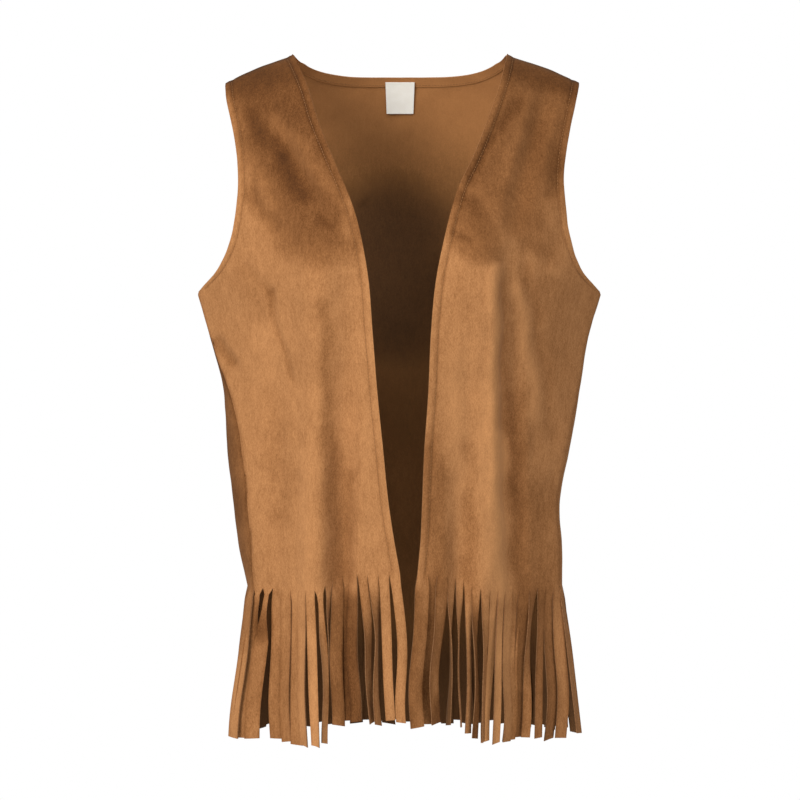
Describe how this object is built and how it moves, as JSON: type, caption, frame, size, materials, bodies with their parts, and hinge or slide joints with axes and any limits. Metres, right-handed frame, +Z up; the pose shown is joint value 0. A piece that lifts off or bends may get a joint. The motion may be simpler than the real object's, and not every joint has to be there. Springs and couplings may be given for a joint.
{
  "type": "fringed suede gilet",
  "caption": "Sleeveless open-front gilet of thin suede cloth, filled out as worn, with a deep open neck, wide armholes and a hem cut into long fringe strips.",
  "frame": {"origin": "midway between the neck points of the two shoulder seams, where the wearer's shoulders carry the garment", "axes": "+Z up, fronts face -Y, +X to the right of someone who looks at the fronts"},
  "size_m": [0.4056, 0.2039, 0.6833],
  "materials": {
    "suede": "brushed tan suede nap",
    "suede_inside": "matt brown reverse side",
    "label_cloth": "plain woven cream"
  },
  "bodies": {
    "root": {"front_left": "suede", "front_right": "suede", "back": "suede", "fringe_front_left": "suede", "fringe_front_right": "suede", "fringe_back": "suede", "edge_hem_left": "suede_inside", "edge_hem_right": "suede_inside", "armhole_hem_front_left": "suede_inside", "armhole_hem_front_right": "suede_inside", "armhole_hem_back_left": "suede_inside", "armhole_hem_back_right": "suede_inside", "neck_hem": "suede_inside", "neck_label": "label_cloth"}
  },
  "joints": []
}
